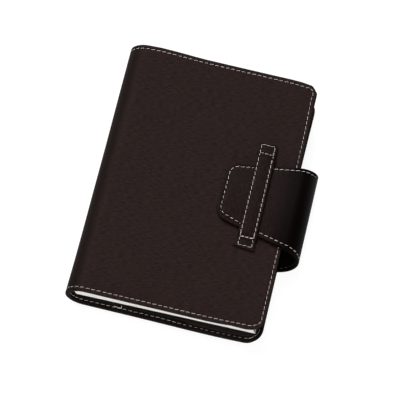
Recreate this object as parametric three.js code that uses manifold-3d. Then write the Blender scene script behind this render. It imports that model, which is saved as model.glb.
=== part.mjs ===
// A desk diary in a slip-on leather cover, closed by a wide strap that passes under a keeper.
// Millimetres. +X runs from the spine to the fore edge, +Y from the tail to the head, +Z up.
// The origin is the middle of the closed cover, on the face that lies on the table.

import * as THREE from 'three';
import { mergeVertices } from 'three/addons/utils/BufferGeometryUtils.js';
import Module from 'manifold-3d';

const wasm = await Module();
wasm.setup();

// The diary's leaves and case
const leafHeight = 210;
const leafWidth = 145.5;
const sectionCount = 12;
const sectionPly = 1.29;
const backRounding = 3.05;
const boardPly = 2.2;
const boardSquare = 3;
const boardCorner = 5;
const endpaperPly = 0.3;
const spineStripPly = 0.8;
const spineStripSweep = 88;

// The leather cover's plies
const leatherPly = 1.2;
const turnInPly = 0.8;
const turnInWidth = 8;
const liningPly = 0.8;
const liningInset = 0.6;
const pocketPly = 0.6;
const pocketDepth = 62;
const headMargin = 4.5;
const foreMargin = 2.3;
const backOverhang = 1.1;
const coverCorner = 11;
const spineStripCount = 5;

// The strap, from the fore edge round to its tip: its two edges are given where it leaves the
// cover, where its bow meets the front cover, and at the tip
const strapOuterPly = 1.5;
const strapLiningPly = 1.4;
const tongueLength = 60.5;
const rootEdges = { tail: -47.5, head: 42.5 };
const shoulderEdges = { tail: -37, head: 34.7 };
const tipEdges = { tail: -21.6, head: 24.6 };
const tipSkew = 1.6;
const tipCorner = 9.5;
const bowArcCount = 4;
const tabLength = 18;

// The keeper that holds the strap down
const keeperWidth = 15.5;
const keeperInset = 29.2;
const keeperLeatherPly = 1.2;
const keeperLiningPly = 0.8;
const keeperSlack = { tail: 1.2, head: 3.4 };
const keeperRamp = 4.5;
const keeperFoot = 11;

// Clearances
const plyGap = 0.1;
const seamGap = 0.3;
const strapClearance = 0.3;
const boardClearance = 0.3;
const spineClearance = 0.3;
const openingClearance = 0.45;

// Facets of the round stretches
const cornerSegments = 6;
const spineFacets = 3;
const spineStripFacets = 6;
const bowFacets = 3;
const rampFacets = 4;

// Levels of one cover's plies, counted up from its outer face
const recessLevel = leatherPly;
const rimLevel = recessLevel + turnInPly;
const liningLevel = rimLevel + plyGap;
const boardLevel = liningLevel + liningPly + plyGap;
const endpaperLevel = boardLevel + boardPly + plyGap;
const pocketLevel = endpaperLevel + endpaperPly + plyGap;
const leafLevel = pocketLevel + pocketPly + plyGap;

// The closed thickness follows from the plies and the leaves, and the round spine follows from it
const sectionPitch = sectionPly + plyGap;
const closedThickness = 2 * leafLevel + sectionCount * sectionPitch;
const spineRadius = closedThickness / 2;
const spineInnerRadius = spineRadius - rimLevel - plyGap - liningPly;

// The leaves' folded backs stop short of the line where the two halves would bind as they open
const foldReach = 2 * spineRadius / Math.PI - openingClearance;
const shoulderReach = foldReach - backRounding;
const foreReach = leafWidth - shoulderReach;
const boardReach = foreReach + boardSquare;
const frontReach = boardReach + foreMargin;

const spineX = (spineRadius - frontReach) / 2;
const leafForeX = spineX + foreReach;
const boardForeX = spineX + boardReach;
const frontForeX = spineX + frontReach;
const backForeX = frontForeX + backOverhang;

const halfLeaf = leafHeight / 2;
const halfBoard = halfLeaf + boardSquare;
const halfCover = halfBoard + headMargin;

// The strap leaves the back cover between its leather and its lining, and bows round to the front
const strapThickness = strapOuterPly + plyGap + strapLiningPly;
const strapRootZ = recessLevel + plyGap;
const tongueZ = closedThickness + strapClearance;
const strapTopZ = tongueZ + strapThickness;
const bowRadius = (strapTopZ - strapRootZ) / 2;
const bowX = backForeX + seamGap;
const bowLength = Math.PI * bowRadius;

const keeperX = frontForeX - keeperInset;
const keeperFootZ = closedThickness + plyGap;
const keeperCrownZ = strapTopZ + strapClearance;

const leather = new THREE.MeshStandardMaterial({ color: 0x2e2524, roughness: 0.48, metalness: 0 });
const strapLeather = new THREE.MeshStandardMaterial({ color: 0x271b1a, roughness: 0.4, metalness: 0 });
const lining = new THREE.MeshStandardMaterial({ color: 0x1d1716, roughness: 0.75, metalness: 0 });
const board = new THREE.MeshStandardMaterial({ color: 0x17181c, roughness: 0.7, metalness: 0 });
const greyBoard = new THREE.MeshStandardMaterial({ color: 0x8a8378, roughness: 0.9, metalness: 0 });
const paper = new THREE.MeshStandardMaterial({ color: 0xf1ede4, roughness: 0.9, metalness: 0 });

const diary = new THREE.Group();

function addPiece(parent, name, geometry, material, z = 0) {
  const mesh = new THREE.Mesh(geometry, material);
  mesh.name = name;
  mesh.position.z = z;
  parent.add(mesh);
}

// A closed geometry as a solid that can be joined and cut
function solidOf(geometry) {
  const bare = geometry.clone();
  bare.deleteAttribute('normal');
  bare.deleteAttribute('uv');
  const merged = mergeVertices(bare);
  const mesh = new wasm.Mesh({
    numProp: 3,
    vertProperties: Float32Array.from(merged.attributes.position.array),
    triVerts: Uint32Array.from(merged.index.array),
  });
  return new wasm.Manifold(mesh);
}

function geometryOf(solid) {
  const mesh = solid.getMesh();
  const geometry = new THREE.BufferGeometry();
  geometry.setAttribute('position', new THREE.BufferAttribute(Float32Array.from(mesh.vertProperties), 3));
  geometry.setIndex(new THREE.BufferAttribute(Uint32Array.from(mesh.triVerts), 1));
  geometry.computeVertexNormals();
  return geometry;
}

function extrude(shape, thickness) {
  return new THREE.ExtrudeGeometry(shape, {
    depth: thickness,
    bevelEnabled: false,
    steps: 1,
    curveSegments: cornerSegments,
  });
}

// An outline through corner points, each rounded by its own radius; the points run anticlockwise
function roundedOutline(corners) {
  const shape = new THREE.Shape();
  corners.forEach((corner, index) => {
    const before = corners[(index + corners.length - 1) % corners.length];
    const after = corners[(index + 1) % corners.length];
    const here = new THREE.Vector2(corner.x, corner.y);
    const back = new THREE.Vector2(before.x, before.y).sub(here).normalize();
    const ahead = new THREE.Vector2(after.x, after.y).sub(here).normalize();
    const radius = corner.radius || 0;
    const halfAngle = Math.acos(back.dot(ahead)) / 2;
    const tangent = radius / Math.tan(halfAngle);
    const enter = here.clone().addScaledVector(back, tangent);
    const leave = here.clone().addScaledVector(ahead, tangent);
    if (index === 0) {
      shape.moveTo(enter.x, enter.y);
    } else {
      shape.lineTo(enter.x, enter.y);
    }
    if (radius > 0) {
      const inward = back.clone().add(ahead).normalize();
      const centre = here.clone().addScaledVector(inward, radius / Math.sin(halfAngle));
      const start = enter.clone().sub(centre).angle();
      const end = leave.clone().sub(centre).angle();
      shape.absarc(centre.x, centre.y, radius, start, end, false);
    }
  });
  shape.closePath();
  return shape;
}

// The radius that keeps a rounded corner parallel when its outline moves in by an inset
function insetCorner(radius, inset) {
  return Math.max(radius - inset, 0);
}

// A panel that is square at the spine side and rounded at its two fore-edge corners
function panelOutline(fromX, toX, halfHeight, radius) {
  return roundedOutline([
    { x: fromX, y: -halfHeight },
    { x: toX, y: -halfHeight, radius },
    { x: toX, y: halfHeight, radius },
    { x: fromX, y: halfHeight },
  ]);
}

function panel(fromX, toX, halfHeight, radius, thickness) {
  return extrude(panelOutline(fromX, toX, halfHeight, radius), thickness);
}

// A closed solid through a row of four-cornered sections
function loft(sections) {
  const corners = sections[0].length;
  const positions = sections.flat().flatMap((point) => [point.x, point.y, point.z]);
  const triangles = [];
  for (let row = 0; row + 1 < sections.length; row += 1) {
    for (let side = 0; side < corners; side += 1) {
      const a = row * corners + side;
      const b = row * corners + (side + 1) % corners;
      triangles.push(a, b, b + corners, a, b + corners, a + corners);
    }
  }
  const last = (sections.length - 1) * corners;
  triangles.push(0, 2, 1, 0, 3, 2);
  triangles.push(last, last + 1, last + 2, last, last + 2, last + 3);
  const geometry = new THREE.BufferGeometry();
  geometry.setAttribute('position', new THREE.Float32BufferAttribute(positions, 3));
  geometry.setIndex(triangles);
  geometry.computeVertexNormals();
  return geometry;
}

// A ply bent round an axis along Y, between two angles that start at the bottom of the round.
// Turn is 1 where the round faces +X and -1 where it faces -X, and edgesAt gives the ply's two
// ends in Y at an angle.
function bentPly({ centre, turn, outer, inner, from, to, facets, edgesAt }) {
  const rows = [];
  for (let step = 0; step <= facets; step += 1) {
    const angle = from + (to - from) * step / facets;
    const edges = edgesAt(angle);
    const at = (radius, y) => new THREE.Vector3(
      centre.x + turn * radius * Math.sin(angle),
      y,
      centre.z - radius * Math.cos(angle),
    );
    const outside = [at(outer, edges.tail), at(outer, edges.head)];
    const inside = [at(inner, edges.head), at(inner, edges.tail)];
    const row = [...outside, ...inside];
    rows.push(turn < 0 ? row.reverse() : row);
  }
  return loft(rows);
}

// One cover's leather: its edges are turned in on three sides, round a recess for the stiffener
function coverLeather(foreX, hasStrap) {
  const corner = insetCorner(coverCorner, turnInWidth);
  const fromX = spineX - turnInWidth;
  const recess = panel(fromX, foreX - turnInWidth, halfCover - turnInWidth, corner, rimLevel);
  recess.translate(0, 0, recessLevel);
  let solid = solidOf(panel(spineX + seamGap / 2, foreX, halfCover, coverCorner, rimLevel));
  solid = solid.subtract(solidOf(recess));
  if (hasStrap) {
    const notch = extrude(strapOutline(-turnInWidth, turnInWidth, seamGap), rimLevel);
    notch.translate(0, 0, recessLevel);
    solid = solid.subtract(solidOf(notch));
  }
  return geometryOf(solid);
}

// The card board in the leather's recess; on the strap's side it stops short of the strap's tab
function coverStiffener(foreX, hasStrap) {
  const end = foreX - (hasStrap ? tabLength : turnInWidth) - seamGap;
  const height = halfCover - turnInWidth - seamGap;
  const corner = insetCorner(coverCorner, turnInWidth + seamGap);
  return panel(spineX + seamGap, end, height, corner, turnInPly - plyGap);
}

// The pocket takes one board of the diary: a flap on the lining, open towards the spine, that
// steps up over the board and is sewn down all round its other three sides
function coverPocket(foreX) {
  const mouthX = foreX - pocketDepth;
  const space = boardForeX + boardClearance;
  const side = halfBoard + boardClearance;
  const corner = boardCorner + boardClearance;
  const height = pocketLevel - boardLevel;
  const outerCorner = insetCorner(coverCorner, liningInset);
  const flange = panel(mouthX, foreX - liningInset, halfCover - liningInset, outerCorner, pocketPly);
  const raised = panel(
    mouthX, space + pocketPly, side + pocketPly, corner + pocketPly, height + pocketPly,
  );
  const inside = panel(mouthX - pocketPly, space, side, corner, 2 * height);
  inside.translate(0, 0, -height);
  return geometryOf(solidOf(flange).add(solidOf(raised)).subtract(solidOf(inside)));
}

// One side of the cover with the diary board in its pocket, outer face down
function buildCover(side, foreX, hasStrap) {
  const cover = new THREE.Group();
  const corner = insetCorner(coverCorner, liningInset);
  const liningSheet = panel(
    spineX + seamGap / 2, foreX - liningInset, halfCover - liningInset, corner, liningPly,
  );
  const boardSheet = panel(spineX + seamGap, boardForeX, halfBoard, boardCorner, boardPly);
  const endSheet = panel(spineX - shoulderReach, leafForeX, halfLeaf, 0, endpaperPly);
  addPiece(cover, `${side}_leather`, coverLeather(foreX, hasStrap), leather);
  addPiece(cover, `${side}_stiffener`, coverStiffener(foreX, hasStrap), greyBoard, recessLevel + plyGap / 2);
  addPiece(cover, `${side}_lining`, liningSheet, lining, liningLevel);
  addPiece(cover, `${side}_pocket`, coverPocket(foreX), lining, boardLevel);
  addPiece(cover, `diary_${side}_board`, boardSheet, board, boardLevel);
  addPiece(cover, `${side}_endpaper`, endSheet, paper, endpaperLevel);
  return cover;
}

// The leaves, in folded sections: the backs are rounded and the fore edge is hollow to match
function buildLeaves() {
  const leaves = new THREE.Group();
  const halfBlock = sectionCount * sectionPitch / 2;
  const roundRadius = (halfBlock ** 2 + backRounding ** 2) / (2 * backRounding);
  for (let index = 0; index < sectionCount; index += 1) {
    const fromMiddle = halfBlock - (index + 0.5) * sectionPitch;
    const setBack = roundRadius - Math.sqrt(roundRadius ** 2 - fromMiddle ** 2);
    const foldX = spineX - foldReach + setBack;
    const sheet = panel(foldX, foldX + leafWidth, halfLeaf, 0, sectionPly);
    const name = `section_${String(index + 1).padStart(2, '0')}`;
    addPiece(leaves, name, sheet, paper, closedThickness / 2 + fromMiddle - sectionPly / 2);
  }
  return leaves;
}

// The round spine, in strips that hinge on lines of the outer surface so that it can unroll flat
function buildSpine() {
  const spine = new THREE.Group();
  const centre = { x: spineX, z: spineRadius };
  const sweep = Math.PI / spineStripCount;
  const trim = seamGap / 2 / spineRadius;
  const straight = (half) => () => ({ tail: -half, head: half });
  const bend = (outer, inner, from, to, facets, half) => bentPly({
    centre, turn: -1, outer, inner, from, to, facets, edgesAt: straight(half),
  });
  for (let index = 0; index < spineStripCount; index += 1) {
    const from = index * sweep + trim;
    const to = (index + 1) * sweep - trim;
    const outerSheet = bend(spineRadius, spineRadius - rimLevel, from, to, spineFacets, halfCover);
    const innerSheet = bend(
      spineRadius - rimLevel - plyGap, spineInnerRadius, from, to, spineFacets, halfCover - liningInset,
    );
    addPiece(spine, `spine_leather_${index + 1}`, outerSheet, leather);
    addPiece(spine, `spine_lining_${index + 1}`, innerSheet, lining);
  }
  const stripOuter = spineInnerRadius - spineClearance;
  const halfSweep = THREE.MathUtils.degToRad(spineStripSweep / 2);
  const from = Math.PI / 2 - halfSweep;
  const to = Math.PI / 2 + halfSweep;
  const strip = bend(stripOuter, stripOuter - spineStripPly, from, to, spineStripFacets, halfBoard);
  addPiece(spine, 'diary_spine_strip', strip, board);
  return spine;
}

// The strap's two edges, at a distance along it from where it leaves the cover
function strapEdges(along) {
  const onTongue = along > bowLength;
  const start = onTongue ? shoulderEdges : rootEdges;
  const end = onTongue ? tipEdges : shoulderEdges;
  const share = onTongue ? (along - bowLength) / tongueLength : along / bowLength;
  return {
    tail: THREE.MathUtils.lerp(start.tail, end.tail, share),
    head: THREE.MathUtils.lerp(start.head, end.head, share),
  };
}

// The strap's sewn-in tab seen from above, between two distances out from the fore edge
function strapOutline(fromOut, toOut, clearance) {
  return roundedOutline([
    { x: backForeX + fromOut - clearance, y: rootEdges.tail - clearance },
    { x: backForeX + toOut, y: rootEdges.tail - clearance },
    { x: backForeX + toOut, y: rootEdges.head + clearance },
    { x: backForeX + fromOut - clearance, y: rootEdges.head + clearance },
  ]);
}

// The tongue lies flat on the front cover; both of its plies have the same outline
function tonguePly(thickness) {
  const rootX = bowX - seamGap / 2;
  const tipX = bowX - tongueLength;
  return extrude(roundedOutline([
    { x: tipX, y: tipEdges.tail, radius: tipCorner },
    { x: rootX, y: shoulderEdges.tail },
    { x: rootX, y: shoulderEdges.head },
    { x: tipX + tipSkew, y: tipEdges.head, radius: tipCorner },
  ]), thickness);
}

// The strap: a thin tab sewn into the back cover's fore edge, a bow in arcs, and the tongue
function buildStrap() {
  const strap = new THREE.Group();
  const centre = { x: bowX, z: strapRootZ + bowRadius };
  const sweep = Math.PI / bowArcCount;
  const trim = seamGap / 2 / bowRadius;
  const outerPlyInside = bowRadius - strapOuterPly;
  const bowInside = bowRadius - strapThickness;
  const edgesAt = (angle) => strapEdges(angle * bowRadius);
  const tab = extrude(strapOutline(-tabLength, seamGap / 2, 0), turnInPly - plyGap);
  addPiece(strap, 'strap_tab', tab, strapLeather, strapRootZ - plyGap / 2);
  for (let index = 0; index < bowArcCount; index += 1) {
    const arc = { centre, turn: 1, facets: bowFacets, edgesAt };
    arc.from = index * sweep + trim;
    arc.to = (index + 1) * sweep - trim;
    const outerSheet = bentPly({ ...arc, outer: bowRadius, inner: outerPlyInside });
    const innerSheet = bentPly({ ...arc, outer: outerPlyInside - plyGap, inner: bowInside });
    addPiece(strap, `strap_outer_${index + 1}`, outerSheet, strapLeather);
    addPiece(strap, `strap_lining_${index + 1}`, innerSheet, strapLeather);
  }
  addPiece(strap, 'tongue_lining', tonguePly(strapLiningPly), strapLeather, tongueZ);
  addPiece(strap, 'tongue_outer', tonguePly(strapOuterPly), strapLeather, strapTopZ - strapOuterPly);
  return strap;
}

// The keeper's line from end to end: flat on the cover at its two feet, raised over the strap
function keeperLine() {
  const widest = strapEdges(bowLength + bowX - keeperX - keeperWidth / 2);
  const crown = { tail: widest.tail - keeperSlack.tail, head: widest.head + keeperSlack.head };
  const points = [];
  const addRamp = (fromY, toY, fromZ, toZ) => {
    for (let step = 0; step <= rampFacets; step += 1) {
      const share = step / rampFacets;
      const ease = (1 - Math.cos(Math.PI * share)) / 2;
      points.push(new THREE.Vector2(
        THREE.MathUtils.lerp(fromY, toY, share),
        THREE.MathUtils.lerp(fromZ, toZ, ease),
      ));
    }
  };
  points.push(new THREE.Vector2(crown.tail - keeperRamp - keeperFoot, keeperFootZ));
  addRamp(crown.tail - keeperRamp, crown.tail, keeperFootZ, keeperCrownZ);
  addRamp(crown.head, crown.head + keeperRamp, keeperCrownZ, keeperFootZ);
  points.push(new THREE.Vector2(crown.head + keeperRamp + keeperFoot, keeperFootZ));
  return points;
}

// One ply of the keeper, between two heights above its line; the profile's two axes are Y and Z
function keeperPly(low, high) {
  const line = keeperLine();
  const under = line.map((point) => new THREE.Vector2(point.x, point.y + low));
  const over = line.map((point) => new THREE.Vector2(point.x, point.y + high)).reverse();
  const geometry = extrude(new THREE.Shape([...under, ...over]), keeperWidth);
  const turned = new THREE.Matrix4().makeBasis(
    new THREE.Vector3(0, 1, 0),
    new THREE.Vector3(0, 0, 1),
    new THREE.Vector3(1, 0, 0),
  );
  geometry.applyMatrix4(turned);
  geometry.translate(keeperX - keeperWidth / 2, 0, 0);
  return geometry;
}

function buildKeeper() {
  const keeper = new THREE.Group();
  const leatherLow = keeperLiningPly + plyGap;
  addPiece(keeper, 'keeper_lining', keeperPly(0, keeperLiningPly), lining);
  addPiece(keeper, 'keeper_leather', keeperPly(leatherLow, leatherLow + keeperLeatherPly), leather);
  return keeper;
}

const backCover = buildCover('back', backForeX, true);
const frontCover = buildCover('front', frontForeX, false);
frontCover.rotation.x = Math.PI;
frontCover.position.z = closedThickness;
diary.add(backCover, frontCover, buildLeaves(), buildSpine(), buildStrap(), buildKeeper());

export default diary;
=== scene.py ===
# A desk diary in a slip-on cover of dark brown leather, closed by a wide strap under a keeper.

import math
import random

import bmesh
import bpy
import numpy as np
from mathutils import Matrix, Vector


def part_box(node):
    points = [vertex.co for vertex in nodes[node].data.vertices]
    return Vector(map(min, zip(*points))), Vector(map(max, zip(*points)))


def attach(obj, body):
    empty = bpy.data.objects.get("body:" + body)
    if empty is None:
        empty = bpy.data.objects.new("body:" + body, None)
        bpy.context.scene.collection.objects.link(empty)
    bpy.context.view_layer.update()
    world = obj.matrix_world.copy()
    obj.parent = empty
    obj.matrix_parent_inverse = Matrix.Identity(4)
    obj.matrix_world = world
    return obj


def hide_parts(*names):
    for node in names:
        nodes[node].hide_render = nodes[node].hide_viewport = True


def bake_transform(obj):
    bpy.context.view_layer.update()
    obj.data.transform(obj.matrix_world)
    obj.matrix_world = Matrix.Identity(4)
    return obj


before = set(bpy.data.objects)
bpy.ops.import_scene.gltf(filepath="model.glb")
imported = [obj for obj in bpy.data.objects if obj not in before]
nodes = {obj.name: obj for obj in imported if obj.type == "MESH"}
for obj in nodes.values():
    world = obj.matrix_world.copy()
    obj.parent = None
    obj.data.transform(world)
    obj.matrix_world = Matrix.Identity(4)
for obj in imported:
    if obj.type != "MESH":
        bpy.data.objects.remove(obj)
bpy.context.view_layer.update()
bpy.ops.object.select_all(action="DESELECT")
bpy.context.scene.view_settings.view_transform = "Standard"

# The camera stands at the diary's tail and looks steeply down on it, a little turned, through a
# long lens, as in the photograph.
camera_azimuth = math.radians(4.63)
camera_elevation = math.radians(66)
camera_roll = math.radians(9.04)
camera_distance = 2.057
image_width = 400
aim_offset = (7.0, -0.9)

towards = Vector((
    math.sin(camera_azimuth) * math.cos(camera_elevation),
    -math.cos(camera_azimuth) * math.cos(camera_elevation),
    math.sin(camera_elevation),
))
level_right = Vector((math.cos(camera_azimuth), math.sin(camera_azimuth), 0))
level_up = towards.cross(level_right)
right = level_right * math.cos(camera_roll) + level_up * math.sin(camera_roll)
up = level_up * math.cos(camera_roll) - level_right * math.sin(camera_roll)
facing = Matrix((right, up, towards)).transposed()
bpy.ops.object.camera_add(location=towards * camera_distance, rotation=facing.to_euler())
camera = bpy.context.object
camera.data.lens = 225
camera.data.sensor_width = 36
camera.data.shift_x = aim_offset[0] / image_width
camera.data.shift_y = aim_offset[1] / image_width
bpy.context.scene.camera = camera


# Materials are written as sums: a signal is one output of a material's nodes, and arithmetic on it
# adds the nodes that do it.
class Signal:
    def __init__(self, finish, socket):
        self.finish = finish
        self.socket = socket

    def math(self, operation, first, second=0.0):
        return self.finish.add("ShaderNodeMath", {"operation": operation}, {0: first, 1: second})

    def __add__(self, other):
        return self.math("ADD", self, other)

    def __sub__(self, other):
        return self.math("SUBTRACT", self, other)

    def __rsub__(self, other):
        return self.math("SUBTRACT", other, self)

    def __mul__(self, other):
        return self.math("MULTIPLY", self, other)

    __radd__ = __add__
    __rmul__ = __mul__


class Finish:
    def __init__(self, name, world=None, **constants):
        self.material = world or bpy.data.materials.new(name)
        self.material.use_nodes = True
        self.tree = self.material.node_tree
        self.shader = self.tree.nodes["Background" if world else "Principled BSDF"]
        self.feed(constants)

    def plug(self, socket, value):
        if isinstance(value, Signal):
            self.tree.links.new(value.socket, socket)
        else:
            socket.default_value = value

    def add(self, kind, settings=None, inputs=None, output=0):
        node = self.tree.nodes.new(kind)
        for name, value in (settings or {}).items():
            setattr(node, name, value)
        for name, value in (inputs or {}).items():
            self.plug(node.inputs[name], value)
        return Signal(self, node.outputs[output])

    def feed(self, values):
        for name, value in values.items():
            self.plug(self.shader.inputs[name.replace("_", " ")], value)

    def surface(self):
        return self.add("ShaderNodeUVMap", {"uv_map": "Flat"})

    def along(self):
        return self.add("ShaderNodeSeparateXYZ", None, {"Vector": self.surface()})

    def stretched(self, place, scale):
        return self.add("ShaderNodeMapping", None, {"Vector": place, "Scale": scale})

    def noise(self, place, scale, detail=2.0, roughness=0.5):
        return self.add("ShaderNodeTexNoise", None, {
            "Vector": place, "Scale": scale, "Detail": detail, "Roughness": roughness,
        })

    def cells(self, place, scale):
        return self.add("ShaderNodeTexVoronoi", None, {"Vector": place, "Scale": scale})

    def spread(self, signal, low, high, to_low=0, to_high=1, curve="LINEAR"):
        return self.add("ShaderNodeMapRange", {"interpolation_type": curve}, {
            "Value": signal, "From Min": low, "From Max": high, "To Min": to_low, "To Max": to_high,
        })

    def blend(self, share, first, second):
        node = self.tree.nodes.new("ShaderNodeMix")
        node.data_type = "RGBA"
        self.plug(node.inputs[0], share)
        self.plug(node.inputs[6], first)
        self.plug(node.inputs[7], second)
        return Signal(self, node.outputs[2])

    def bump(self, height, distance, strength=1.0):
        return self.add("ShaderNodeBump", None, {
            "Height": height, "Distance": distance, "Strength": strength,
        })


def dress(piece, *finishes):
    piece.data.materials.clear()
    for finish in finishes:
        piece.data.materials.append(finish.material)


# The table is plain white and the light is soft: one wide lamp high over the diary, one low at its
# tail, which leaves no gloss, and a dim room. What is seen of the table, straight or in a gloss, is
# lifted to the paper white of the photograph, and keeps the diary's shadow.
table_level = -0.0003
table_colour = (0.2, 0.2, 0.2, 1)
room_colour = (1, 1, 1, 1)
room_strength = 0.1
glow_strength = 0.92

bpy.ops.mesh.primitive_plane_add(size=6, location=(0, 0, table_level))
table = bpy.context.object
table.name = "table"
tabletop = Finish("table_white", Base_Color=table_colour, Roughness=0.9)
glow = tabletop.add("ShaderNodeEmission", None, {
    "Color": room_colour, "Strength": glow_strength,
})
seen = sum(
    tabletop.add("ShaderNodeLightPath", output=ray)
    for ray in ("Is Camera Ray", "Is Glossy Ray", "Is Transmission Ray")
)
plain = Signal(tabletop, tabletop.shader.outputs[0])
both = tabletop.add("ShaderNodeAddShader", None, {0: plain, 1: glow})
mixed = tabletop.add("ShaderNodeMixShader", None, {0: seen, 1: plain, 2: both})
tabletop.plug(tabletop.tree.nodes["Material Output"].inputs["Surface"], mixed)
dress(table, tabletop)

room = Finish("room", bpy.data.worlds.new("room"), Color=room_colour)
backdrop = room.add("ShaderNodeLightPath", output="Is Camera Ray")
room.feed({"Strength": room_strength + (1 - room_strength) * backdrop})
bpy.context.scene.world = room.material


def add_lamp(name, place, power, width):
    bpy.ops.object.light_add(type="SUN", location=place)
    lamp = bpy.context.object
    lamp.name = name
    lamp.data.energy = power
    lamp.data.angle = math.radians(width)
    lamp.rotation_euler = Vector(place).to_track_quat("Z", "Y").to_euler()
    return lamp


add_lamp("key_light", (-0.7, 0.95, 1.35), power=3.1, width=45)
front_light = add_lamp("front_light", (0.05, -1.6, 0.3), power=2.5, width=20)
front_light.visible_glossy = False


# The outer leather is one sheet, 2 mm thick with its turned-in edge, cut with round corners and
# bent round the page block. It is shaped flat, inside up, then cut between the hinge lines of the
# round spine and rolled, so that the grain and the stitch groove run on across it. Each corner is
# given by its end in x, its side in y and its radius.
leather_ply = 0.002
leather_rim = 0.0009
corner_facets = 12
spine_facets = 60
row_gap = 0.01
rows_each_way = 10
panel_rows = 14
bay_rows = 4
same_place = 0.00001
same_level = 0.000001
rim_angle = 1.2
flat_facing = 0.99
edge_tilt = 0.2
mm_per_metre = 1000
cover_corners = ((1, 1, 0.011), (-1, 1, 0.0078), (-1, -1, 0.0115), (1, -1, 0.0135))
seam_inset = 0.0029
groove_width = 0.0007
groove_depth = 0.0003
hinge_gap = 0.0003

back_low, back_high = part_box("back_leather")
front_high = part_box("front_leather")[1]
half_cover = back_high.y
spine_radius = front_high.z / 2
spine_x = back_low.x - hinge_gap / 2
fore_x = back_high.x
front_reach = front_high.x - spine_x
spine_length = math.pi * spine_radius
flat_front_x = spine_x - spine_length - front_reach


def choose(piece):
    bpy.ops.object.select_all(action="DESELECT")
    piece.select_set(True)
    bpy.context.view_layer.objects.active = piece


def open_piece(piece):
    choose(piece)
    bpy.ops.object.mode_set(mode="EDIT")


def close_piece():
    bpy.ops.object.mode_set(mode="OBJECT")


def pick(kind, test):
    bpy.ops.mesh.select_mode(type=kind)
    bpy.ops.mesh.select_all(action="DESELECT")
    mesh = bmesh.from_edit_mesh(bpy.context.object.data)
    for item in {"VERT": mesh.verts, "EDGE": mesh.edges, "FACE": mesh.faces}[kind]:
        item.select_set(bool(test(item)))
    mesh.select_flush_mode()
    bmesh.update_edit_mesh(bpy.context.object.data)


def round_corner(x, y, radius):
    pick("VERT", lambda v: abs(v.co.x - x) < same_place and abs(v.co.y - y) < same_place)
    bpy.ops.mesh.bevel(offset=radius, segments=corner_facets, affect="VERTICES")


def lay_plane(name, low_x, high_x, low_y, high_y, level):
    bpy.ops.mesh.primitive_plane_add(size=1)
    piece = bpy.context.object
    piece.name = name
    open_piece(piece)
    bpy.ops.mesh.select_all(action="SELECT")
    bpy.ops.transform.resize(
        value=(high_x - low_x, high_y - low_y, 1), center_override=(0, 0, 0),
    )
    middle = ((low_x + high_x) / 2, (low_y + high_y) / 2, level)
    bpy.ops.transform.translate(value=middle)
    return piece


def is_rim(edge):
    level = abs(edge.verts[0].co.z - edge.verts[1].co.z) < same_level
    return level and len(edge.link_faces) == 2 and edge.calc_face_angle(0) > rim_angle


def thicken(ply, rim, segments=4):
    bpy.ops.mesh.select_all(action="SELECT")
    bpy.ops.mesh.extrude_region_move(TRANSFORM_OT_translate={"value": (0, 0, ply)})
    bpy.ops.mesh.select_all(action="SELECT")
    bpy.ops.mesh.normals_make_consistent(inside=False)
    pick("EDGE", is_rim)
    bpy.ops.mesh.bevel(offset=rim, segments=segments, affect="EDGES")


def press_groove(side, inset, depth):
    pick("FACE", lambda f: f.normal.z * side > flat_facing)
    bpy.ops.mesh.inset(thickness=inset - groove_width, depth=0)
    bpy.ops.mesh.inset(thickness=groove_width, depth=-depth)
    bpy.ops.mesh.inset(thickness=groove_width, depth=depth)


def cut_across(place, keep=None):
    bpy.ops.mesh.select_all(action="SELECT")
    bpy.ops.mesh.bisect(
        plane_co=(place, 0, 0), plane_no=(1, 0, 0), use_fill=keep is not None,
        clear_inner=keep == "above", clear_outer=keep == "below",
    )


def cut_along(place):
    bpy.ops.mesh.select_all(action="SELECT")
    bpy.ops.mesh.bisect(plane_co=(0, place, 0), plane_no=(0, 1, 0))


def cut_rows():
    for step in range(-rows_each_way, rows_each_way + 1):
        cut_along(step * row_gap)


def map_flat(piece, painted_edges=False):
    layer = piece.data.uv_layers.get("Flat") or piece.data.uv_layers.new(name="Flat")
    piece.data.uv_layers.active = layer
    for face in piece.data.polygons:
        tilt = 1 - abs(face.normal.z)
        face.material_index = 1 if painted_edges and tilt > edge_tilt else 0
        for index in face.loop_indices:
            place = piece.data.vertices[piece.data.loops[index].vertex_index].co
            lift = place.z * tilt
            layer.data[index].uv = (place.x + lift, place.y + lift)


def move_points(piece, rule):
    points = np.empty(len(piece.data.vertices) * 3)
    piece.data.vertices.foreach_get("co", points)
    moved = rule(points.reshape(-1, 3))
    piece.data.vertices.foreach_set("co", moved.ravel())
    piece.data.update()


# The real spine stands out a little more at its ends, and most at the tail.
spine_swell = (
    (-0.111, -0.096, -0.081, -0.060, -0.020, 0.023, 0.053, 0.098),
    (1.042, 1.025, 1.010, 1.004, 1.004, 1.000, 1.012, 1.023),
)


def roll_spine(points):
    along = spine_x - points[:, 0]
    height = points[:, 2]
    angle = np.clip(along / spine_radius, 0, math.pi)
    arm = spine_radius - height
    swell = np.interp(points[:, 1], *spine_swell)
    x = spine_x - arm * np.sin(angle) * swell
    z = spine_radius - arm * np.cos(angle)
    x = np.where(along < 0, points[:, 0], x)
    x = np.where(along > spine_length, spine_x + along - spine_length, x)
    return np.stack([x, points[:, 1], z], 1)


def smooth(piece, angle=38):
    choose(piece)
    bpy.ops.object.shade_smooth_by_angle(angle=math.radians(angle))


def copy_piece(source, name):
    piece = source.copy()
    piece.data = source.data.copy()
    piece.name = name
    bpy.context.collection.objects.link(piece)
    return piece


def spine_place(degrees):
    return spine_x - spine_radius * math.radians(degrees)


def on_spine(degrees):
    angle = math.radians(degrees)
    return (
        spine_x - spine_radius * math.sin(angle),
        0,
        spine_radius - spine_radius * math.cos(angle),
    )


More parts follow.
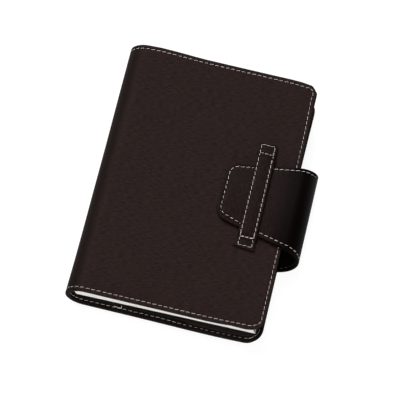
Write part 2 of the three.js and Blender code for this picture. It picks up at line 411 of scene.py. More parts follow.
# Between two hinge lines the sheet is cut in the middle of a spine strip. Two stretches meet where
# the third and the fourth strip part. Each row gives where a stretch starts and ends, its two
# bodies, and where it goes over from the one to the other.
parting = 108
hinge_bay = 0.0046
stretches = [
    ("back", math.inf, spine_place(18), "back_cover", "spine_1",
     (spine_x + hinge_bay, 0, 0), on_spine(18)),
    ("spine_a", spine_place(18), spine_place(54), "spine_1", "spine_2", on_spine(18), on_spine(54)),
    ("spine_b", spine_place(54), spine_place(parting), "spine_2", "spine_3",
     on_spine(54), on_spine(90)),
    ("spine_c", spine_place(parting), spine_place(162), "spine_5", "spine_4",
     on_spine(162), on_spine(126)),
    ("front", spine_place(162), -math.inf, "front_cover", "spine_5",
     (spine_x + hinge_bay, 0, 2 * spine_radius), on_spine(162)),
]


def roll_into_pieces(sheet, label, finish, stands_for):
    for part, near, far, first, second, start, end in stretches:
        piece = copy_piece(sheet, f"{label}_{part}")
        open_piece(piece)
        if near < math.inf:
            cut_across(near, "below")
        if far > -math.inf:
            cut_across(far, "above")
        close_piece()
        move_points(piece, roll_spine)
        smooth(piece)
        dress(piece, finish)
        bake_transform(piece)
        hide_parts(*stands_for[part])
    bpy.data.objects.remove(sheet)


# The edges of the real cover aren't quite straight. Each row gives an edge, places along it, and
# how far the seam and the rim beyond it stand out there, in mm.
seam_reach = (8, 4)
rim_reach = (2.1, 0.9)
uneven_edges = [
    ("front", "head", (-88, -78, -70, -65, -54, -44, -34, -23, -13, 38, 58, 63, 67, 70),
     (0.5, 0.5, 0.9, 1.2, 1.6, 1.35, 1.0, 0.6, 0.4, 0.4, 0.3, 0, -0.3, -0.45),
     (1.15, 1.15, 1.6, 1.75, 2.3, 2.05, 1.7, 1.15, 0.95, 1.0, 1.15, 1.0, 0.7, -0.05)),
    ("back", "head", (-88, -60, 60, 72), (0.5, 0.3, 0.3, 0), (1.15, 0.9, 0.9, 0.5)),
    ("front", "tail", (-88, -65, 35, 50, 56, 62, 66, 70), (0, 0, 0, -0.2, -0.5, -0.8, -1.0, -1.1),
     (0.35, 0.1, 0.1, -0.45, -1.05, -0.9, -0.7, -1.1)),
    ("front", "fore", (-84, -65, -45, 52, 61, 71, 77, 86, 95, 100, 103),
     (0.4, 0.3, 0.3, 0, 0, -0.2, -0.3, -0.7, -1.0, -1.1, -0.8),
     (0, 0, 0, 0, 0, 0, 0, 0, 0.1, 0.15, 0.1)),
    ("back", "tail", (-88, -65, -20, 0, 18, 28, 38, 48, 58, 68, 76),
     (0, 0, 0, 0, 0.8, 1.15, 1.35, 1.3, 0.8, 0.3, 0),
     (0.35, 0.55, 0.7, 0.9, 1.1, 1.2, 1.2, 1.15, 0.95, 0.6, 0.3)),
    ("back", "fore", (50, 57, 67, 76, 86, 95, 105), (0, 0, 0, 0, 0, 0, 0),
     (0, 0.1, 0.2, 0.25, 0.35, 0.7, 0.5)),
]


def grow_edges(points):
    along = spine_x - points[:, 0]
    on_front = along > spine_length / 2
    x = np.where(along > 0, spine_x - np.minimum(along, spine_length - along), points[:, 0])
    x = x * mm_per_metre
    y = points[:, 1] * mm_per_metre
    grown = points.copy()
    for cover, edge, places, seam, rim in uneven_edges:
        outwards = -1 if edge == "tail" or (edge, cover) == ("fore", "front") else 1
        if edge == "fore":
            axis, spots, inside = 0, y, fore_x * mm_per_metre - x
        else:
            axis, spots, inside = 1, x, half_cover * mm_per_metre - outwards * y
        seam_out = np.interp(spots, places, seam)
        rim_out = np.interp(spots, places, rim) - seam_out
        shift = (
            seam_out * np.clip((seam_reach[0] - inside) / (seam_reach[0] - seam_reach[1]), 0, 1)
            + rim_out * np.clip((rim_reach[0] - inside) / (rim_reach[0] - rim_reach[1]), 0, 1)
        )
        own_side = on_front == (cover == "front")
        grown[:, axis] += np.where(own_side, outwards * shift / mm_per_metre, 0)
    return grown


def cut_cover_ply(name, inset, level, ply, rim, seam_side):
    low_x = flat_front_x + inset
    high_x = fore_x - inset
    half = half_cover - inset
    piece = lay_plane(name, low_x, high_x, -half, half, level)
    for end, side, radius in cover_corners:
        round_corner(high_x if end > 0 else low_x, side * half, radius - inset)
    thicken(ply, rim)
    press_groove(seam_side, seam_inset - inset - rim, groove_depth)
    for step in range(spine_facets + 1):
        cut_across(spine_x - spine_length * step / spine_facets)
    for step in range(1, panel_rows + 1):
        cut_across(spine_x + step * row_gap)
        cut_across(spine_x - spine_length - step * row_gap)
    for step in range(1, bay_rows + 1):
        cut_across(spine_x + step * hinge_bay / bay_rows)
        cut_across(spine_x - spine_length - step * hinge_bay / bay_rows)
    cut_rows()
    close_piece()
    move_points(piece, grow_edges)
    map_flat(piece)
    return piece


# The leather has a fine printed grain of short lines, which run along x on the cover and along y
# on the strap, over small pebbles.
along_x = (1, 8, 1)
along_y = (8, 1, 1)


def leather_finish(name, deep, worn, roughness, grain, lines, shine, shade_mask=None, shade_colour=None):
    """A colour of clouds, streaks and hair lines, on a relief of pebbles and the same lines."""
    finish = Finish(name, Specular_IOR_Level=shine)
    place = finish.surface()
    clouds = finish.noise(place, 30, detail=3)
    streaks = finish.noise(finish.stretched(place, lines), 95, roughness=0.55)
    hairs = finish.noise(finish.stretched(place, lines), 215, detail=0)
    pebbles = finish.cells(place, 1 / grain)
    fine = finish.noise(place, 2.4 / grain)
    mottle = (
        finish.spread(clouds, 0.3, 0.7, 0, 0.1) + finish.spread(streaks, 0.35, 0.65, 0, 0.2)
        + finish.spread(hairs, 0.38, 0.62, 0, 0.65)
    )
    colour = finish.blend(mottle, deep, worn)
    # Where a shade mask is given, the colour is painted darker towards the shade colour, as painted
    # shade.
    if shade_mask:
        colour = finish.blend(shade_mask(finish), colour, shade_colour)
    relief = pebbles * 0.4 + streaks * 0.9 + hairs * 0.5 + fine * 0.25
    finish.feed({
        "Base Color": colour,
        "Roughness": roughness + 0.1 * streaks - 0.05 * pebbles,
        "Normal": finish.bump(relief, grain * 0.14, 0.7),
    })
    return finish


# How far the painted shade on the round spine darkens the leather.
spine_shade_depth = 0.85


def spine_painted_shade(finish):
    """Painted shade: the round back of the spine is painted darker, where it turns away from the
    light. It fades out towards both covers.
    """
    along = finish.along()
    front_flank = finish.spread(
        along, spine_place(172), spine_place(138), 0, spine_shade_depth, "SMOOTHSTEP",
    )
    return front_flank * finish.spread(
        along, spine_place(8), spine_place(42), curve="SMOOTHSTEP",
    )


# The cover leather's round spine is painted darker as painted shade, towards a near-black brown.
cover_leather = leather_finish(
    "cover_leather", (0.0130, 0.0066, 0.0058, 1), (0.0308, 0.0172, 0.0154, 1),
    roughness=0.64, grain=0.0008, lines=along_x, shine=0.06,
    shade_mask=spine_painted_shade, shade_colour=(0.0085, 0.0042, 0.0030, 1),
)
cover_sheet = cut_cover_ply(
    "cover_sheet", inset=0, level=0, ply=leather_ply, rim=leather_rim, seam_side=-1,
)
roll_into_pieces(cover_sheet, "cover_leather", cover_leather, {
    "back": ["back_leather", "spine_leather_1"],
    "spine_a": ["spine_leather_2"],
    "spine_b": ["spine_leather_3"],
    "spine_c": ["spine_leather_4"],
    "front": ["front_leather", "spine_leather_5"],
})

# Where the third and the fourth strip of the spine part as the cover opens, a tongue of the same
# leather bridges the slit. It lies inside the sheet while the cover is closed, and rides with the
# third strip. The real leather is one sheet there.
bridge_start = 106
bridge_end = 115
bridge_depth = (0.0004, 0.0016)
bridge_inset = 0.0002
spine_tongue = lay_plane(
    "spine_tongue", spine_place(bridge_end), spine_place(bridge_start),
    bridge_inset - half_cover, half_cover - bridge_inset, bridge_depth[0],
)
thicken(bridge_depth[1] - bridge_depth[0], bridge_inset, segments=2)
for degrees in range(bridge_start + 1, bridge_end):
    cut_across(spine_place(degrees))
cut_rows()
close_piece()
move_points(spine_tongue, grow_edges)
map_flat(spine_tongue)
move_points(spine_tongue, roll_spine)
smooth(spine_tongue)
dress(spine_tongue, cover_leather)
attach(spine_tongue, "spine_3")

# The lining is a thinner, duller leather on the inside, sewn to the outer leather all round its
# edge, a hair inside it.
lining_low, lining_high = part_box("back_lining")
lining_inset = 0.0001
lining_rim = 0.0003
lining_ply = lining_high.z - lining_low.z
lining_finish = leather_finish(
    "lining_leather", (0.0105, 0.0074, 0.0067, 1), (0.0190, 0.0134, 0.0123, 1),
    roughness=0.6, grain=0.0006, lines=along_x, shine=0.07,
)
lining_sheet = cut_cover_ply(
    "lining_sheet", lining_inset, lining_low.z, lining_ply, lining_rim, seam_side=1,
)
roll_into_pieces(lining_sheet, "cover_lining", lining_finish, {
    "back": ["back_lining", "spine_lining_1"],
    "spine_a": ["spine_lining_2"],
    "spine_b": ["spine_lining_3"],
    "spine_c": ["spine_lining_4"],
    "front": ["front_lining", "spine_lining_5"],
})

# The cream seam goes all round the sheet and shows on both of its faces. One stitch is modelled, an
# arched length of thread whose ends dive into the leather, and is repeated along the seam lines.
stitch_length = 0.0035
stitch_pitch = 0.00455
thread_width = 0.00038
thread_height = 0.0004
strap_stitch = (1, 1.08, 1.1)
keeper_stitch = (1, 1.18, 1.2)
stitch_slant = math.radians(6)
stitch_wobble = 0.03
stitch_reach = 0.0012
stitch_taper = 0.45
stitch_dive = 0.75
turn_steps = 12

bpy.ops.mesh.primitive_cylinder_add(vertices=8, radius=0.5, depth=1, rotation=(0, math.pi / 2, 0))
stitch = bpy.context.object
stitch.name = "stitch"
bpy.ops.object.transform_apply()
open_piece(stitch)
for place in (-0.44, -0.34, -0.18, 0, 0.18, 0.34, 0.44):
    cut_across(place)
bpy.ops.mesh.select_all(action="SELECT")
bpy.ops.uv.cylinder_project(direction="ALIGN_TO_OBJECT", align="POLAR_ZX", scale_to_bounds=True)
close_piece()
stitch.data.uv_layers.active.name = "Flat"


def arch_stitch(points):
    reach = (2 * points[:, 0]) ** 4
    taper = 1 - stitch_taper * reach
    x = points[:, 0] * stitch_length
    y = points[:, 1] * taper * thread_width
    z = (points[:, 2] * taper - stitch_dive * reach) * thread_height
    return np.stack([x, y, z], 1)


move_points(stitch, arch_stitch)
smooth(stitch, angle=60)


def twisted_thread(name, shine, shade, light):
    finish = Finish(name, Roughness=0.7, Specular_IOR_Level=shine)
    strands = finish.add("ShaderNodeTexWave", {"bands_direction": "DIAGONAL"}, {
        "Vector": finish.surface(), "Scale": 3.2, "Distortion": 0.6,
    })
    finish.feed({"Base Color": finish.blend(strands, shade, light)})
    return finish, strands


thread_finish, strands = twisted_thread(
    "seam_thread", shine=0.3, shade=(0.72, 0.66, 0.60, 1), light=(0.95, 0.91, 0.86, 1),
)
thread_finish.feed({"Normal": thread_finish.bump(strands, 0.0002, 0.7)})


def seam_line(corners, closed=True):
    """A path through corners, each (x, y, radius), with every corner rounded."""
    places = [Vector(corner[:2]) for corner in corners]
    path = []
    for index, (here, corner) in enumerate(zip(places, corners)):
        if not closed and index in (0, len(corners) - 1):
            path.append(tuple(here))
            continue
        before = (places[index - 1] - here).normalized()
        after = (places[(index + 1) % len(places)] - here).normalized()
        half = before.angle(after) / 2
        centre = here + (before + after).normalized() * corner[2] / math.sin(half)
        start = here + before * corner[2] / math.tan(half) - centre
        sweep = (math.pi - 2 * half) * (1 if before.cross(after) < 0 else -1)
        for step in range(turn_steps + 1):
            path.append(tuple(centre + Matrix.Rotation(sweep * step / turn_steps, 2) @ start))
    return path + path[:1] if closed else path


def sew(path, level, side, pitch=stitch_pitch, size=(1, 1, 1)):
    points = np.array(path)
    reach = np.concatenate([[0], np.cumsum(np.hypot(*np.diff(points, axis=0).T))])
    count = max(1, round(reach[-1] / pitch))
    stitches = []
    for index in range(count):
        middle = (index + 0.5) * reach[-1] / count
        x, y = (np.interp(middle, reach, points[:, axis]) for axis in (0, 1))
        step = [
            np.interp(middle + stitch_reach, reach, points[:, axis])
            - np.interp(middle - stitch_reach, reach, points[:, axis])
            for axis in (0, 1)
        ]
        turn = math.atan2(step[1], step[0]) + side * stitch_slant
        turn += random.uniform(-stitch_wobble, stitch_wobble)
        one = stitch.copy()
        flip = Matrix.Rotation(math.pi if side < 0 else 0, 4, "X")
        height = level(x, y) if callable(level) else level
        placed = Matrix.Translation((x, y, height)) @ Matrix.Rotation(turn, 4, "Z")
        one.matrix_world = placed @ flip @ Matrix.Diagonal((*size, 1))
        bpy.context.collection.objects.link(one)
        stitches.append(one)
    return stitches


def join_pieces(name, parts):
    joined = parts[0]
    joined.data = joined.data.copy()
    bpy.ops.object.select_all(action="DESELECT")
    for part in parts:
        part.select_set(True)
    bpy.context.view_layer.objects.active = joined
    bpy.ops.object.join()
    bpy.ops.object.transform_apply()
    joined.name = name
    return joined


def sew_cover(label, stitches):
    stitches = [(one.matrix_world.translation.x, one) for one in stitches]
    for part, near, far, first, second, start, end in stretches:
        piece = join_pieces(f"{label}_{part}", [one for x, one in stitches if far <= x < near])
        move_points(piece, grow_edges)
        move_points(piece, roll_spine)
        dress(piece, thread_finish)
        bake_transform(piece)


random.seed(4)
seam_path = seam_line([
    (
        fore_x - seam_inset if end > 0 else flat_front_x + seam_inset,
        side * (half_cover - seam_inset), radius - seam_inset,
    )
    for end, side, radius in cover_corners
])
back_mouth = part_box("back_pocket")[0].x
flat_front_mouth = spine_x - spine_length - (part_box("front_pocket")[0].x - spine_x)
pocket_ply = 0.0006
lining_face = lining_high.z
sunk = 0.0001
sunk_underneath = 0.0003


def outer_level(x, y):
    return sunk_underneath if x > spine_x else sunk


def inner_level(x, y):
    on_pocket = x > back_mouth or x < flat_front_mouth
    return lining_face - sunk + (sunk + pocket_ply if on_pocket else 0)


sew_cover("outer_seam", sew(seam_path, outer_level, side=-1))

# On the inside the thread runs on without gaps round the tail corner of the back cover, and near
# the spine it is locked by a thick double stitch, whose end stands up.
tail_corner = seam_path[3 * (turn_steps + 1):4 * (turn_steps + 1)]
close_pitch = 0.0027
tail_seam_y = seam_inset - half_cover
lock_path = [(-0.0406, tail_seam_y + 0.0007), (-0.0346, tail_seam_y)]
lock_level = lining_face + 0.0003
lock_pitch = 0.003
lock_size = (1, 1.7, 1.7)
end_place = (-0.0345, tail_seam_y + 0.0004, lining_face + 0.0014)
end_tilt = math.radians(68)

inner_stitches = sew(seam_path, inner_level, 1)
inner_stitches += sew(tail_corner, inner_level, 1, close_pitch)
inner_stitches += sew(lock_path, lock_level, 1, lock_pitch, lock_size)
thread_end = stitch.copy()
thread_end.matrix_world = (
    Matrix.Translation(end_place)
    @ Matrix.Rotation(end_tilt, 4, "X") @ Matrix.Rotation(math.pi / 2, 4, "Z")
    @ Matrix.Diagonal((*lock_size, 1))
)
bpy.context.collection.objects.link(thread_end)
inner_stitches.append(thread_end)
sew_cover("inner_seam", inner_stitches)

# The strap is two plies sewn together, wide at the cover and narrower towards its round-cornered
# tip. It is shaped flat, cut between its hinge lines and rolled into the bow round the fore edge.
tip_edges = (-0.0216, 0.0246)
tip_skew = 0.0016
tip_corner = 0.0095
tongue_length = 0.0605
tip_reach = 0.005
tip_facets = 10
strap_seam = 0.0026
strap_start = -0.006
root_reach = 0.0015
root_thinning = 0.75
bow_squeeze = 0.96
bow_facets = 48
tail_shift = (0.0005, -0.0004, -0.0008)
tail_rim_reach = 0.0009
head_slack = 0.0016
strap_rim = 0.0007
strap_lining_rim = 0.0004

tab_low, tab_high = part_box("strap_tab")
tongue_low, tongue_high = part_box("tongue_outer")
lining_ply_low, lining_ply_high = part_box("tongue_lining")
root_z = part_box("strap_outer_1")[0].z
bow_radius = (tongue_high.z - root_z) / 2
bow_x = tab_high.x + hinge_gap / 2
bow_length = math.pi * bow_radius
outer_ply = tongue_high.z - tongue_low.z
inner_ply_start = tongue_high.z - lining_ply_high.z
strap_depth = tongue_high.z - lining_ply_low.z
strap_end = bow_length + tongue_length


def strap_edge(along, root, shoulder, tip, slack):
    middle = (root + shoulder) / 2 - slack
    places = [strap_start, 0, bow_length / 2, bow_length, strap_end]
    return np.interp(along, places, [root, root, middle, shoulder, tip])


def tail_edge(along):
    return strap_edge(
        along, tab_low.y + tail_shift[0], tongue_low.y + tail_shift[1],
        tip_edges[0] + tail_shift[2], 0,
    )


def tail_rim(along):
    return np.interp(along, [bow_length / 2, bow_length], [0, tail_rim_reach])


def head_edge(along):
    return strap_edge(along, tab_high.y, tongue_high.y, tip_edges[1], head_slack)


def taper_strap(points):
    tail, head = tail_edge(points[:, 0]) - tail_rim(points[:, 0]), head_edge(points[:, 0])
    share = points[:, 1] + 0.5
    skew = np.where(points[:, 0] > strap_end - same_place, share * tip_skew, 0)
    y = tail + (head - tail) * share
    return np.stack([points[:, 0] - skew, y, points[:, 2]], 1)


def roll_strap(points):
    along = points[:, 0]
    height = points[:, 2] * (1 + root_thinning * np.clip(along / root_reach, -1, 0))
    angle = np.clip(along / bow_radius, 0, math.pi)
    arm = bow_radius - height
    beyond = np.maximum(along - bow_length, 0) - np.minimum(along, 0)
    x = bow_x + arm * np.sin(angle) * bow_squeeze - beyond
    z = root_z + bow_radius - arm * np.cos(angle)
    return np.stack([x, points[:, 1], z], 1)


def on_bow(degrees):
    angle = math.radians(degrees)
    return (
        bow_x + bow_radius * math.sin(angle), 0, root_z + bow_radius * (1 - math.cos(angle)),
    )


def bow_place(degrees):
    return bow_radius * math.radians(degrees)


root_bay = 0.0003
tongue_bay = 0.0062
strap_stretches = [
    ("root", -math.inf, 22.5, "back_cover", "strap_1",
     (bow_x - root_bay, 0, root_z), on_bow(22.5)),
    ("bow_a", 22.5, 67.5, "strap_1", "strap_2", on_bow(22.5), on_bow(67.5)),
    ("bow_b", 67.5, 112.5, "strap_2", "strap_3", on_bow(67.5), on_bow(112.5)),
    ("bow_c", 112.5, 157.5, "strap_3", "strap_4", on_bow(112.5), on_bow(157.5)),
    ("tongue", 157.5, math.inf, "strap_4", "strap_tongue",
     on_bow(157.5), (bow_x - tongue_bay, 0, tongue_high.z)),
]
strap_parts = {"root": "_1", "bow_a": "_2", "bow_b": "_3", "bow_c": "_4"}


def cut_strap_ply(name, level, ply, rim, side):
    piece = lay_plane(name, strap_start, strap_end, -0.5, 0.5, level)
    cut_across(0)
    cut_across(bow_length / 2)
    cut_across(bow_length)
    close_piece()
    move_points(piece, taper_strap)
    open_piece(piece)
    pick("VERT", lambda v: v.co.x > strap_end - tip_reach)
    bpy.ops.mesh.bevel(offset=tip_corner, segments=tip_facets, affect="VERTICES")
    thicken(ply, rim, segments=3)
    press_groove(side, strap_seam - rim, groove_depth)
    for step in range(bow_facets + 1):
        cut_across(bow_length * step / bow_facets)
    close_piece()
    map_flat(piece, painted_edges=True)
    return piece


def roll_strap_into_pieces(sheet, label, finish, stem, tongue):
    for part, near, far, first, second, start, end in strap_stretches:
        piece = copy_piece(sheet, f"{label}_{part}")
        open_piece(piece)
        cut_across(max(bow_place(near), -root_reach), "above")
        if far < math.inf:
            cut_across(bow_place(far), "below")
        close_piece()
        move_points(piece, roll_strap)
        smooth(piece)
        dress(piece, finish, edge_paint_and_shade)
        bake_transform(piece)
        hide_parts(stem + strap_parts[part] if part in strap_parts else tongue)
    bpy.data.objects.remove(sheet)


# The cut edges of strap and keeper are painted black. The strap is painted almost black over its
# bend, as painted shade where it turns away from the light.
# The black edge paint is real, but its near-zero colour and dull finish also stand in for the
# shadow under the strap's edges, as painted shade.
edge_paint_and_shade = Finish("edge_paint_and_shade", Roughness=0.8, Specular_IOR_Level=0.02)
edge_coat = edge_paint_and_shade.noise(edge_paint_and_shade.surface(), 900)
edge_paint_and_shade.feed({
    "Base Color": edge_paint_and_shade.blend(
        edge_coat, (0.001, 0.0007, 0.0006, 1), (0.0025, 0.0019, 0.0017, 1),
    ),
    "Normal": edge_paint_and_shade.bump(edge_coat, 0.00005, 0.5),
})
# Painted shade: the strap is painted almost black over its root and bow, fading out over about 2 cm
# of the tongue.
bend_shade_start = bow_length - 0.002
bend_shade_end = bow_length + 0.019


def strap_bend_painted_shade(finish):
    return finish.spread(finish.along(), bend_shade_end, bend_shade_start, curve="SMOOTHSTEP")


# The strap's leather, with its bend painted almost black as painted shade.
strap_leather = leather_finish(
    "strap_leather", (0.0070, 0.0033, 0.0029, 1), (0.0200, 0.0108, 0.0098, 1),
    roughness=0.56, grain=0.0007, lines=along_y, shine=0.05,
    shade_mask=strap_bend_painted_shade, shade_colour=(0.0020, 0.0004, 0.0002, 1),
)
strap_sheet = cut_strap_ply("strap_sheet", level=0, ply=outer_ply, rim=strap_rim, side=-1)
roll_strap_into_pieces(
    strap_sheet, "strap_leather", strap_leather, "strap_outer", "tongue_outer",
)
strap_lining = cut_strap_ply(
    "strap_lining_sheet", level=inner_ply_start, ply=strap_depth - inner_ply_start,
    rim=strap_lining_rim, side=1,
)
# The strap's lining is given a near-black colour as painted shade, for the shade inside the bow.
strap_lining_painted_shade = leather_finish(
    "strap_lining", (0.0024, 0.0017, 0.0015, 1), (0.0052, 0.0039, 0.0035, 1),
    roughness=0.75, grain=0.0006, lines=along_y, shine=0.03,
)
roll_strap_into_pieces(
    strap_lining, "strap_lining", strap_lining_painted_shade, "strap_lining",
    "tongue_lining",
)

# The strap's seam runs along both its edges and round the tip, on both faces. Under the keeper it
# comes nearer to the tail edge, and on the bow it keeps further from the head edge.
seam_sag = ((bow_length + 0.0202, 0.0022), (bow_length + 0.0378, 0.0023))
tip_shift = (0.0012, 0.0012)
bow_margin = 0.0008
seam_start = 0.0008
bow_turn = 0.05
sag_turn = 0.02


def strap_seam_path():
    tip_x = strap_end - strap_seam
    radius = tip_corner - strap_seam
    path = [(seam_start, tail_edge(seam_start) + strap_seam, 0)]
    for place in (bow_length / 2, bow_length):
        path.append((place, tail_edge(place) + strap_seam, bow_turn))
    for place, margin in seam_sag:
        path.append((place, tail_edge(place) + margin, sag_turn))
    path.append((tip_x - tip_shift[0], tail_edge(tip_x) + strap_seam + tip_shift[1], radius))
    path.append((tip_x - tip_skew, tip_edges[1] - strap_seam, radius))
    for place, margin in ((bow_length, strap_seam), (bow_length / 2, strap_seam + bow_margin)):
        path.append((place, head_edge(place) - margin, bow_turn))
    path.append((seam_start, head_edge(seam_start) - strap_seam, 0))
    return seam_line(path, closed=False)


# The thread on the strap's inner face is given a dark brown colour as painted shade, for the shade
# inside the bow.
inner_thread_painted_shade = twisted_thread(
    "inner_thread_painted_shade", shine=0.2, shade=(0.065, 0.057, 0.05, 1), light=(0.155, 0.143, 0.124, 1),
)[0]


def sew_strap(label, level, side, finish):
    stitches = sew(strap_seam_path(), level, side, size=strap_stitch)
    stitches = [(one.matrix_world.translation.x, one) for one in stitches]
    for part, near, far, first, second, start, end in strap_stretches:
        own = [one for x, one in stitches if bow_place(near) <= x < bow_place(far)]
        piece = join_pieces(f"{label}_{part}", own)
        move_points(piece, roll_strap)
        dress(piece, finish)
        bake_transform(piece)


sew_strap("strap_outer_seam", sunk, side=-1, finish=thread_finish)
sew_strap("strap_inner_seam", strap_depth - sunk, side=1, finish=inner_thread_painted_shade)

# The keeper is a narrow strip across the strap, flat on the cover at its two feet and raised over
# the strap between them, with a seam round its edge and a box of stitches on each foot.
keeper_low, keeper_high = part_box("keeper_leather")
under_low, under_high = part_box("keeper_lining")
keeper_ramp = 0.0045
keeper_slope = 0.006
keeper_foot = 0.011
keeper_under = 0.0008
keeper_gap = 0.0001
keeper_leather_ply = 0.0012
keeper_facets = 12
keeper_inset = 0.0022
keeper_groove = 0.0002
keeper_pitch = 0.0044
hem_reach = 0.008
hem_rows = 6
hem_flare = (-0.0020, 0.0005)
hem_lift = (0.0035, 0.0016)
crown_low = keeper_low.y + keeper_foot + keeper_ramp
crown_high = keeper_high.y - keeper_foot - keeper_ramp
foot_level = under_low.z
crown_rise = under_high.z - keeper_under - foot_level


def keeper_line(y):
    share = np.minimum((y - crown_low) / keeper_slope, (crown_high - y) / keeper_ramp)
    share = np.clip(share + 1, 0, 1)
    return foot_level + crown_rise * (1 - np.cos(math.pi * share)) / 2


def raise_keeper(points):
    y, height = points[:, 1], points[:, 2]
    slope = (keeper_line(y + same_place) - keeper_line(y - same_place)) / (2 * same_place)
    length = np.sqrt(1 + slope * slope)
    return np.stack([
        points[:, 0], y - height * slope / length, keeper_line(y) + height / length,
    ], 1)


def hem_foot(points):
    share = np.clip((keeper_low.y + hem_reach - points[:, 1]) / hem_reach, 0, 1) ** 2
    sides = (keeper_low.x, keeper_high.x)
    x = points[:, 0] + share * np.interp(points[:, 0], sides, hem_flare)
    y = points[:, 1] + share * np.interp(points[:, 0], sides, hem_lift)
    return np.stack([x, y, points[:, 2]], 1)


def cut_keeper_ply(name, level, ply, rim, inset, grooved, finish, node):
    piece = lay_plane(
        name, keeper_low.x + inset, keeper_high.x - inset,
        keeper_low.y + inset, keeper_high.y - inset, level,
    )
    thicken(ply, rim, segments=3)
    if grooved:
        press_groove(1, keeper_inset - rim, keeper_groove)
    for step in range(keeper_facets + 1):
        cut_along(crown_low - keeper_slope * step / keeper_facets)
        cut_along(crown_high + keeper_ramp * step / keeper_facets)
    for step in range(1, hem_rows):
        cut_along(keeper_low.y + hem_reach * step / hem_rows)
    close_piece()
    move_points(piece, hem_foot)
    map_flat(piece, painted_edges=True)
    move_points(piece, raise_keeper)
    smooth(piece)
    dress(piece, finish, edge_paint_and_shade)
    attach(piece, "front_cover")
    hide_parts(node)


keeper_finish = leather_finish(
    "keeper_leather", (0.0070, 0.0033, 0.0029, 1), (0.0200, 0.0108, 0.0098, 1),
    roughness=0.56, grain=0.0007, lines=along_y, shine=0.05,
)
cut_keeper_ply(
    "keeper", keeper_under + keeper_gap, keeper_leather_ply, rim=0.0005, inset=0, grooved=True,
    finish=keeper_finish, node="keeper_leather",
)
cut_keeper_ply(
    "keeper_underside", 0, keeper_under, rim=0.0002, inset=0.0002, grooved=False,
    finish=lining_finish, node="keeper_lining",
)
keeper_seam_x = (keeper_low.x + keeper_inset, keeper_high.x - keeper_inset)
keeper_seam_y = (keeper_low.y + 0.0036, keeper_high.y - 0.0018)
keeper_top = keeper_under + keeper_gap + keeper_leather_ply
cross_lines = (crown_low - keeper_ramp + 0.0018, crown_high + keeper_ramp + 0.0015)
keeper_lines = [[(x, y) for y in keeper_seam_y] for x in keeper_seam_x]
keeper_lines += [[(x, y) for x in keeper_seam_x] for y in (*keeper_seam_y, *cross_lines)]
keeper_seam = join_pieces("keeper_seam", [
    one for line in keeper_lines
    for one in sew(line, keeper_top, 1, keeper_pitch, keeper_stitch)
])
move_points(keeper_seam, hem_foot)
move_points(keeper_seam, raise_keeper)
dress(keeper_seam, thread_finish)
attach(keeper_seam, "front_cover")
bpy.data.objects.remove(stitch)

# The leaves are folded sections of white paper, sewn into a block with a round back and a hollow
# fore edge. The block is built in two halves.
page_paper = Finish("page_paper", Roughness=0.85, Specular_IOR_Level=0.2)
fibres = page_paper.noise(page_paper.add("ShaderNodeTexCoord", output="Object"), 900, detail=3)
page_paper.feed({
    "Base Color": page_paper.blend(fibres, (0.88, 0.87, 0.83, 1), (0.95, 0.94, 0.91, 1)),
    "Normal": page_paper.bump(fibres, 0.00003, 0.4),
})
page_edges = Finish("page_edges", Roughness=0.85, Specular_IOR_Level=0.2)
edge_lines = page_edges.noise(page_edges.stretched(page_edges.surface(), (0.6, 60, 1)), 100)
page_edges.feed({
    "Base Color": page_edges.blend(
        page_edges.spread(edge_lines, 0.3, 0.62), (0.74, 0.72, 0.70, 1), (0.95, 0.94, 0.92, 1),
    ),
    "Normal": page_edges.bump(edge_lines, 0.00012, 0.5),
})
section_boxes = [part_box(f"section_{number:02d}") for number in range(1, 13)]
block_middle = (section_boxes[0][1].z + section_boxes[11][0].z) / 2
block_half = section_boxes[0][1].z - block_middle
outer_fold = section_boxes[0][0].x
middle_fold = section_boxes[5][0].x
leaf_width = section_boxes[0][1].x - outer_fold
low_set = 0.0003
askew = 0.0021
fore_skew = 0.0012
fold_gap = 0.0002
fold_bulge = 0.0004
fold_steps = 8
fore_steps = 4
flat_leaf = 0.7
leaf_low_y = section_boxes[0][0].y
leaf_high_y = section_boxes[0][1].y


def fold_x(z):
    share = (z - block_middle) / block_half
    return middle_fold + (outer_fold - middle_fold) * share * share


def build_leaves(name, numbers):
    block = bmesh.new()
    for number in numbers:
        low, high = section_boxes[number - 1]
        outline = []
        for step in range(fold_steps + 1):
            share = step / fold_steps
            z = low.z + (high.z - low.z) * share
            bulge = -fold_gap if number in (6, 7) else fold_bulge * (1 - (2 * share - 1) ** 2)
            outline.append((fold_x(z) - bulge, z))
        for step in range(fore_steps, -1, -1):
            z = low.z + (high.z - low.z) * step / fore_steps
            outline.append((fold_x(z) + leaf_width, z))
        ring = [block.verts.new((x, leaf_low_y, z)) for x, z in outline]
        face = block.faces.new(ring)
        moved = bmesh.ops.extrude_face_region(block, geom=[face])
        far = [item for item in moved["geom"] if isinstance(item, bmesh.types.BMVert)]
        bmesh.ops.translate(block, vec=(0, leaf_high_y - leaf_low_y, 0), verts=far)
    for point in block.verts:
        across = (point.co.x - middle_fold) / leaf_width
        point.co.x -= fore_skew * across * point.co.y / leaf_high_y
        point.co.y -= low_set + askew * (1 - across)
    bmesh.ops.recalc_face_normals(block, faces=block.faces)
    mesh = bpy.data.meshes.new(name)
    block.to_mesh(mesh)
    block.free()
    piece = bpy.data.objects.new(name, mesh)
    bpy.context.collection.objects.link(piece)
    smooth(piece)
    dress(piece, page_paper)
    mesh.materials.append(page_edges.material)
    layer = mesh.uv_layers.new(name="Flat")
    for face in mesh.polygons:
        face.material_index = 0 if abs(face.normal.z) > flat_leaf else 1
        for index in face.loop_indices:
            x, y, z = mesh.vertices[mesh.loops[index].vertex_index].co
            layer.data[index].uv = (x + y, z)
    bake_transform(piece)
    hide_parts(*[f"section_{number:02d}" for number in numbers])


build_leaves(
    "leaves_back_half", range(7, 13),
)
build_leaves(
    "leaves_front_half", range(1, 7),
)


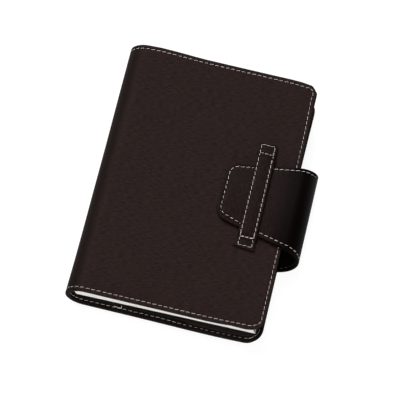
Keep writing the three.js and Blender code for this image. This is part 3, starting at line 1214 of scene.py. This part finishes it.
# The spine strip of the diary's own case, its endpapers, the boards that stiffen the cover and the
# tab of the strap stay as built, and get a plain material each.
def plain_finish(name, low, high, scale, roughness, depth):
    finish = Finish(name, Roughness=roughness, Specular_IOR_Level=0.3)
    place = finish.add("ShaderNodeTexCoord", output="Object")
    weave = finish.noise(place, scale, detail=3)
    finish.feed({
        "Base Color": finish.blend(finish.spread(weave, 0.3, 0.7), low, high),
        "Normal": finish.bump(weave, depth, 0.5),
    })
    return finish


case_cloth = plain_finish(
    "case_cloth", (0.006, 0.0042, 0.0037, 1), (0.011, 0.0078, 0.007, 1),
    scale=1800, roughness=0.85, depth=0.0002,
)
endpaper_finish = plain_finish(
    "endpaper", (0.74, 0.72, 0.67, 1), (0.82, 0.80, 0.76, 1),
    scale=600, roughness=0.85, depth=0.00005,
)
grey_board = plain_finish(
    "grey_board", (0.20, 0.19, 0.165, 1), (0.30, 0.285, 0.25, 1),
    scale=700, roughness=0.9, depth=0.0001,
)
tab_finish = plain_finish(
    "pocket_leather", (0.006, 0.0045, 0.0043, 1), (0.0105, 0.0078, 0.0073, 1),
    scale=1300, roughness=0.55, depth=0.0001,
)
for name, finish in (
    ("diary_spine_strip", case_cloth), ("back_endpaper", endpaper_finish),
    ("front_endpaper", endpaper_finish), ("back_stiffener", grey_board),
    ("front_stiffener", grey_board), ("strap_tab", tab_finish),
):
    dress(nodes[name], finish)

# The two boards of the diary's case are cloth over card, with rounded fore corners. The front one
# is made like the back one and turned over.
board_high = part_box("diary_back_board")[1]
board_ply = 0.0022
board_rim = 0.0005
board_level = lining_face + 0.0001
fore_corner = 0.0086


def turn_over(piece):
    move_points(piece, lambda points: points * (1, 1, -1) + (0, 0, 2 * spine_radius))
    open_piece(piece)
    bpy.ops.mesh.select_all(action="SELECT")
    bpy.ops.mesh.normals_make_consistent(inside=False)
    close_piece()


for side, cover in (("back", "back_cover"), ("front", "front_cover")):
    low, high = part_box(f"diary_{side}_board")
    piece = lay_plane(f"{side}_board", low.x, high.x, low.y, high.y, board_level)
    round_corner(high.x, low.y, fore_corner)
    round_corner(high.x, high.y, fore_corner)
    thicken(board_ply, board_rim, segments=2)
    close_piece()
    if side == "front":
        turn_over(piece)
    smooth(piece)
    dress(piece, case_cloth)
    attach(piece, cover)
    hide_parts(f"diary_{side}_board")

# A pocket of lining leather on each side takes the diary's board. It is sewn to the lining in the
# cover's own seam and steps up over the board.
pocket_rise = 0.0027
pocket_wall = 0.0003
pocket_rim = 0.0002
pocket_overlap = 0.04


def grow_pocket(points):
    unfolded = (2 * spine_x - spine_length, 0, 0)
    return grow_edges(points * (-1, 1, 1) + unfolded) * (-1, 1, 1) + unfolded


for side, cover in (("back", "back_cover"), ("front", "front_cover")):
    low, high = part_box(f"{side}_pocket")
    piece = lay_plane(
        f"{side}_pocket_leather", low.x - pocket_overlap, high.x, low.y, high.y, board_level,
    )
    for end, corner_side, radius in cover_corners:
        if (end > 0) == (side == "back"):
            round_corner(high.x, high.y * corner_side, radius - lining_inset)
    margin_x = high.x - board_high.x - pocket_wall
    margin_y = high.y - board_high.y - pocket_wall
    bpy.ops.mesh.select_all(action="SELECT")
    bpy.ops.mesh.inset(thickness=margin_x, depth=0)
    bpy.ops.transform.resize(
        value=(1, (high.y - margin_y) / (high.y - margin_x), 1), center_override=(0, 0, 0),
    )
    bpy.ops.mesh.inset(thickness=pocket_wall, depth=pocket_rise)
    thicken(pocket_ply, pocket_rim, segments=2)
    cut_across(low.x, "above")
    cut_rows()
    for step in range(1, panel_rows + 1):
        cut_across(spine_x + step * row_gap)
    close_piece()
    move_points(piece, grow_pocket if side == "front" else grow_edges)
    map_flat(piece)
    if side == "front":
        turn_over(piece)
    smooth(piece)
    dress(piece, lining_finish)
    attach(piece, cover)
    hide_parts(f"{side}_pocket")
